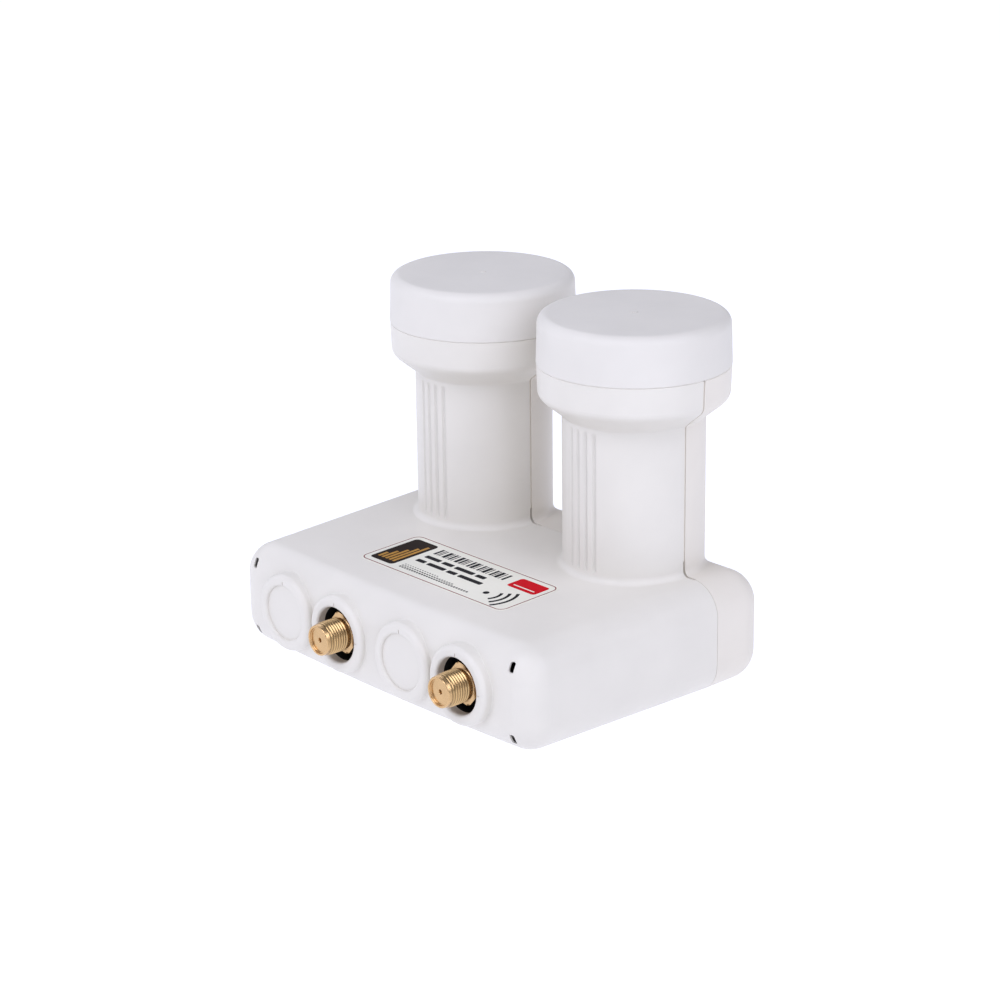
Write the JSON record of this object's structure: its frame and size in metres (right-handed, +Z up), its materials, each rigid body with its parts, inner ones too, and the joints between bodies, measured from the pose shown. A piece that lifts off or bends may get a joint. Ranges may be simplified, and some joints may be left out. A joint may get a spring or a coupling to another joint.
{
  "type": "satellite lnb",
  "caption": "White twin-output satellite LNB with capped feed horns on one flat case, threaded gold F connectors and blank ports along its front",
  "frame": {"origin": "on the underside, midway between the two feed horns, in the plane where the housing shells meet", "axes": "+X along the row of ports and the line of the horns, -Y the side with the ports, +Z up along the horn axes"},
  "size_m": [0.1286, 0.1052, 0.1041],
  "materials": {
    "front_housing": "satin moulded white plastic",
    "rear_housing": "satin moulded white plastic, slightly warmer",
    "cap_plastic": "fine-grained white plastic",
    "seal_rubber": "black rubber",
    "casting_metal": "as cast",
    "board_laminate": "green lacquered laminate",
    "screw_steel": "zinc plated",
    "connector_gold": "gold-coloured plating, threaded",
    "insulator_plastic": "white insulating plastic",
    "contact_metal": "plated spring metal",
    "label_film": "silvery white printed film"
  },
  "bodies": {
    "root": {"front_shell": "front_housing", "rear_shell": "rear_housing", "left_feed_cap": "cap_plastic", "right_feed_cap": "cap_plastic", "left_cap_seal": "seal_rubber", "right_cap_seal": "seal_rubber", "body_casting": "casting_metal", "circuit_board": "board_laminate", "shield_cover": "casting_metal", "cover_gasket": "seal_rubber", "cover_screws": "screw_steel", "left_connector": "connector_gold", "right_connector": "connector_gold", "left_connector_seal": "seal_rubber", "right_connector_seal": "seal_rubber", "left_insulator": "insulator_plastic", "right_insulator": "insulator_plastic", "left_contact": "contact_metal", "right_contact": "contact_metal", "type_label": "label_film"}
  },
  "joints": []
}
